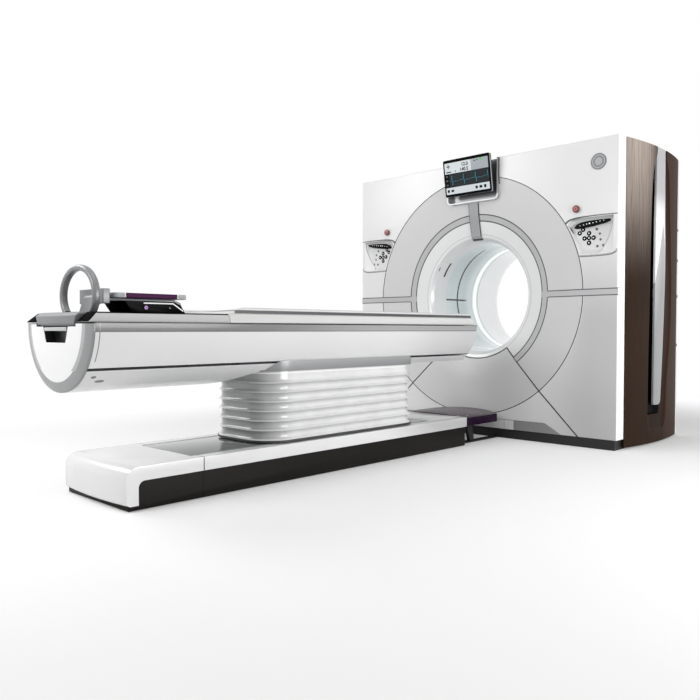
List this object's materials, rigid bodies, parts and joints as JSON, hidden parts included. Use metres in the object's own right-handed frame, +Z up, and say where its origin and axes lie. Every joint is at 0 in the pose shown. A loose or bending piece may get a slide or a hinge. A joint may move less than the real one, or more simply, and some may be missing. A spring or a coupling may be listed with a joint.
{
  "type": "ct scanner",
  "caption": "Ring scanner gantry with a dished white face, open bore and spinning rotor, docked to a lifting patient table on bellows.",
  "frame": {"origin": "on the floor under the isocentre, on the middle cross-member of the gantry's base", "axes": "+Z up, -Y from the gantry's face out along the patient table, +X to the right as seen from the table"},
  "size_m": [2.298, 4.153, 2.0246],
  "materials": {
    "cover_white": "satin white moulded cover",
    "trim_grey": "satin mid grey trim",
    "plinth_black": "matt black steel",
    "panel_brown": "dark brown satin side panel with fine grain",
    "blade_silver": "bright satin silver blade",
    "bore_white": "smooth white bore lining",
    "light_ring": "milky diffuser, lit from behind",
    "control_white": "satin white control tray",
    "key_dark": "soft-touch dark grey key",
    "stop_red": "gloss red stop button",
    "bracket_silver": "silver grey bracket",
    "monitor_shell": "silver shell, dark glass front",
    "frame_steel": "grey painted steel frame",
    "machined_steel": "machined steel",
    "cast_aluminium": "cast aluminium",
    "belt_rubber": "black toothed belt",
    "base_white": "gloss white base cover",
    "skirt_black": "matt black skirt",
    "track_glass": "grey green glass-like plate",
    "bridge_purple": "smoky purple translucent plastic",
    "bellows_white": "glossy white folded skin",
    "collar_silver": "satin silver collar",
    "table_white": "satin white table shell with a grey band at the rim",
    "cap_grey": "grey rim, white face, dark hand recess",
    "deck_white": "light sides, black top deck",
    "cradle_white": "light cradle top",
    "grip_grey": "satin grey handle",
    "tray_clear": "clear rim with a purple insert",
    "console_black": "gloss black console with a white line",
    "button_purple": "purple ring button"
  },
  "bodies": {
    "gantry": {"front_cover": "cover_white", "front_trim": "trim_grey", "lower_front_panel": "cover_white", "bore_funnel": "cover_white", "scan_window": "bore_white", "light_ring": "light_ring", "rear_liner": "bore_white", "left_side_panel": "panel_brown", "right_side_panel": "panel_brown", "blade_trims": "blade_silver", "rear_cover": "cover_white", "top_cover": "cover_white", "left_control_panel": "control_white", "right_control_panel": "control_white", "monitor_bracket": "bracket_silver", "gantry_base": "plinth_black", "stator_frame": "frame_steel", "main_bearing": "machined_steel", "drive_motor": "frame_steel", "drive_belt": "belt_rubber", "table_base": "plinth_black", "base_cover": "base_white", "base_skirt": "skirt_black", "track_plate": "track_glass", "dock_bridge": "bridge_purple"},
    "rotor": {"rotor_drum": "cast_aluminium", "xray_tube": "machined_steel", "detector_arc": "frame_steel", "high_voltage_generator": "frame_steel", "slip_ring": "machined_steel"},
    "pulley": {"motor_pulley": "machined_steel"},
    "monitor": {"monitor": "monitor_shell"},
    "carriage": {"column_carriage": "frame_steel", "bellows": "bellows_white"},
    "inner_arms": {"scissor_inner_arms": "frame_steel"},
    "outer_arms": {"scissor_outer_arms": "frame_steel"},
    "table": {"table_body": "table_white", "lower_shell": "table_white", "column_collar": "collar_silver", "table_frame": "cast_aluminium", "foot_end_cap": "cap_grey", "latch_block": "grip_grey", "foot_deck": "deck_white", "hoop_handle": "grip_grey", "tray_bracket": "grip_grey", "tray": "tray_clear", "console": "console_black"},
    "cradle": {"cradle": "cradle_white"},
    "paddle": {"release_paddle": "grip_grey"},
    "table_button": {"console_button": "button_purple"},
    "left_stop": {"left_stop_button": "stop_red"},
    "right_stop": {"right_stop_button": "stop_red"},
    "left_key_up": {"left_key_up": "key_dark"},
    "left_key_down": {"left_key_down": "key_dark"},
    "left_key_out": {"left_key_out": "key_dark"},
    "left_key_in": {"left_key_in": "key_dark"},
    "right_key_up": {"right_key_up": "key_dark"},
    "right_key_down": {"right_key_down": "key_dark"},
    "right_key_out": {"right_key_out": "key_dark"},
    "right_key_in": {"right_key_in": "key_dark"}
  },
  "joints": [
    {"name": "rotor_spin", "type": "hinge", "parent": "gantry", "child": "rotor", "pos_m": [0, 0, 1.019], "axis": [0, 1, 0], "continuous": true},
    {"name": "pulley_spin", "type": "hinge", "parent": "gantry", "child": "pulley", "pos_m": [0.86, 0.13, 0.33], "axis": [0, 1, 0], "continuous": true},
    {"name": "monitor_tilt", "type": "hinge", "parent": "gantry", "child": "monitor", "pos_m": [0, -0.408, 1.898], "axis": [1, 0, 0], "range_deg": [-8, 8]},
    {"name": "column_travel", "type": "slide", "parent": "gantry", "child": "carriage", "axis": [0, 1, 0], "range_m": [-0.44, 0.28]},
    {"name": "table_lift", "type": "slide", "parent": "carriage", "child": "table", "axis": [0, 0, 1], "range_m": [-0.22, 0.12], "deforming": ["bellows"]},
    {"name": "inner_arm_swing", "type": "hinge", "parent": "carriage", "child": "inner_arms", "pos_m": [0, -2.42, 0.236], "axis": [1, 0, 0], "range_deg": [-15, 9]},
    {"name": "outer_arm_swing", "type": "hinge", "parent": "table", "child": "outer_arms", "pos_m": [0, -2.42, 0.575], "axis": [1, 0, 0], "range_deg": [-9, 15]},
    {"name": "cradle_travel", "type": "slide", "parent": "table", "child": "cradle", "axis": [0, 1, 0], "range_m": [0, 1.7]},
    {"name": "paddle_pull", "type": "hinge", "parent": "table", "child": "paddle", "pos_m": [0, -3.494, 0.777], "axis": [1, 0, 0], "range_deg": [0, 12], "stiffness_Nm_per_rad": 0.8, "springref_deg": -5.73},
    {"name": "table_button_press", "type": "slide", "parent": "table", "child": "table_button", "axis": [-1, 0, 0], "range_m": [0, 0.0015], "stiffness_N_per_m": 400, "springref_m": -0.001},
    {"name": "left_stop_press", "type": "slide", "parent": "gantry", "child": "left_stop", "axis": [0, 1, 0], "range_m": [0, 0.005]},
    {"name": "right_stop_press", "type": "slide", "parent": "gantry", "child": "right_stop", "axis": [0, 1, 0], "range_m": [0, 0.005]},
    {"name": "left_key_up_press", "type": "slide", "parent": "gantry", "child": "left_key_up", "axis": [0, 1, 0], "range_m": [0, 0.0015], "stiffness_N_per_m": 400, "springref_m": -0.001},
    {"name": "left_key_down_press", "type": "slide", "parent": "gantry", "child": "left_key_down", "axis": [0, 1, 0], "range_m": [0, 0.0015], "stiffness_N_per_m": 400, "springref_m": -0.001},
    {"name": "left_key_out_press", "type": "slide", "parent": "gantry", "child": "left_key_out", "axis": [0, 1, 0], "range_m": [0, 0.0015], "stiffness_N_per_m": 400, "springref_m": -0.001},
    {"name": "left_key_in_press", "type": "slide", "parent": "gantry", "child": "left_key_in", "axis": [0, 1, 0], "range_m": [0, 0.0015], "stiffness_N_per_m": 400, "springref_m": -0.001},
    {"name": "right_key_up_press", "type": "slide", "parent": "gantry", "child": "right_key_up", "axis": [0, 1, 0], "range_m": [0, 0.0015], "stiffness_N_per_m": 400, "springref_m": -0.001},
    {"name": "right_key_down_press", "type": "slide", "parent": "gantry", "child": "right_key_down", "axis": [0, 1, 0], "range_m": [0, 0.0015], "stiffness_N_per_m": 400, "springref_m": -0.001},
    {"name": "right_key_out_press", "type": "slide", "parent": "gantry", "child": "right_key_out", "axis": [0, 1, 0], "range_m": [0, 0.0015], "stiffness_N_per_m": 400, "springref_m": -0.001},
    {"name": "right_key_in_press", "type": "slide", "parent": "gantry", "child": "right_key_in", "axis": [0, 1, 0], "range_m": [0, 0.0015], "stiffness_N_per_m": 400, "springref_m": -0.001}
  ],
  "couplings": [
    {"joint": "pulley_spin", "follows": "rotor_spin", "ratio": 11.027},
    {"joint": "inner_arm_swing", "follows": "table_lift", "rad_per_m": 1.11},
    {"joint": "outer_arm_swing", "follows": "table_lift", "rad_per_m": -1.11}
  ]
}
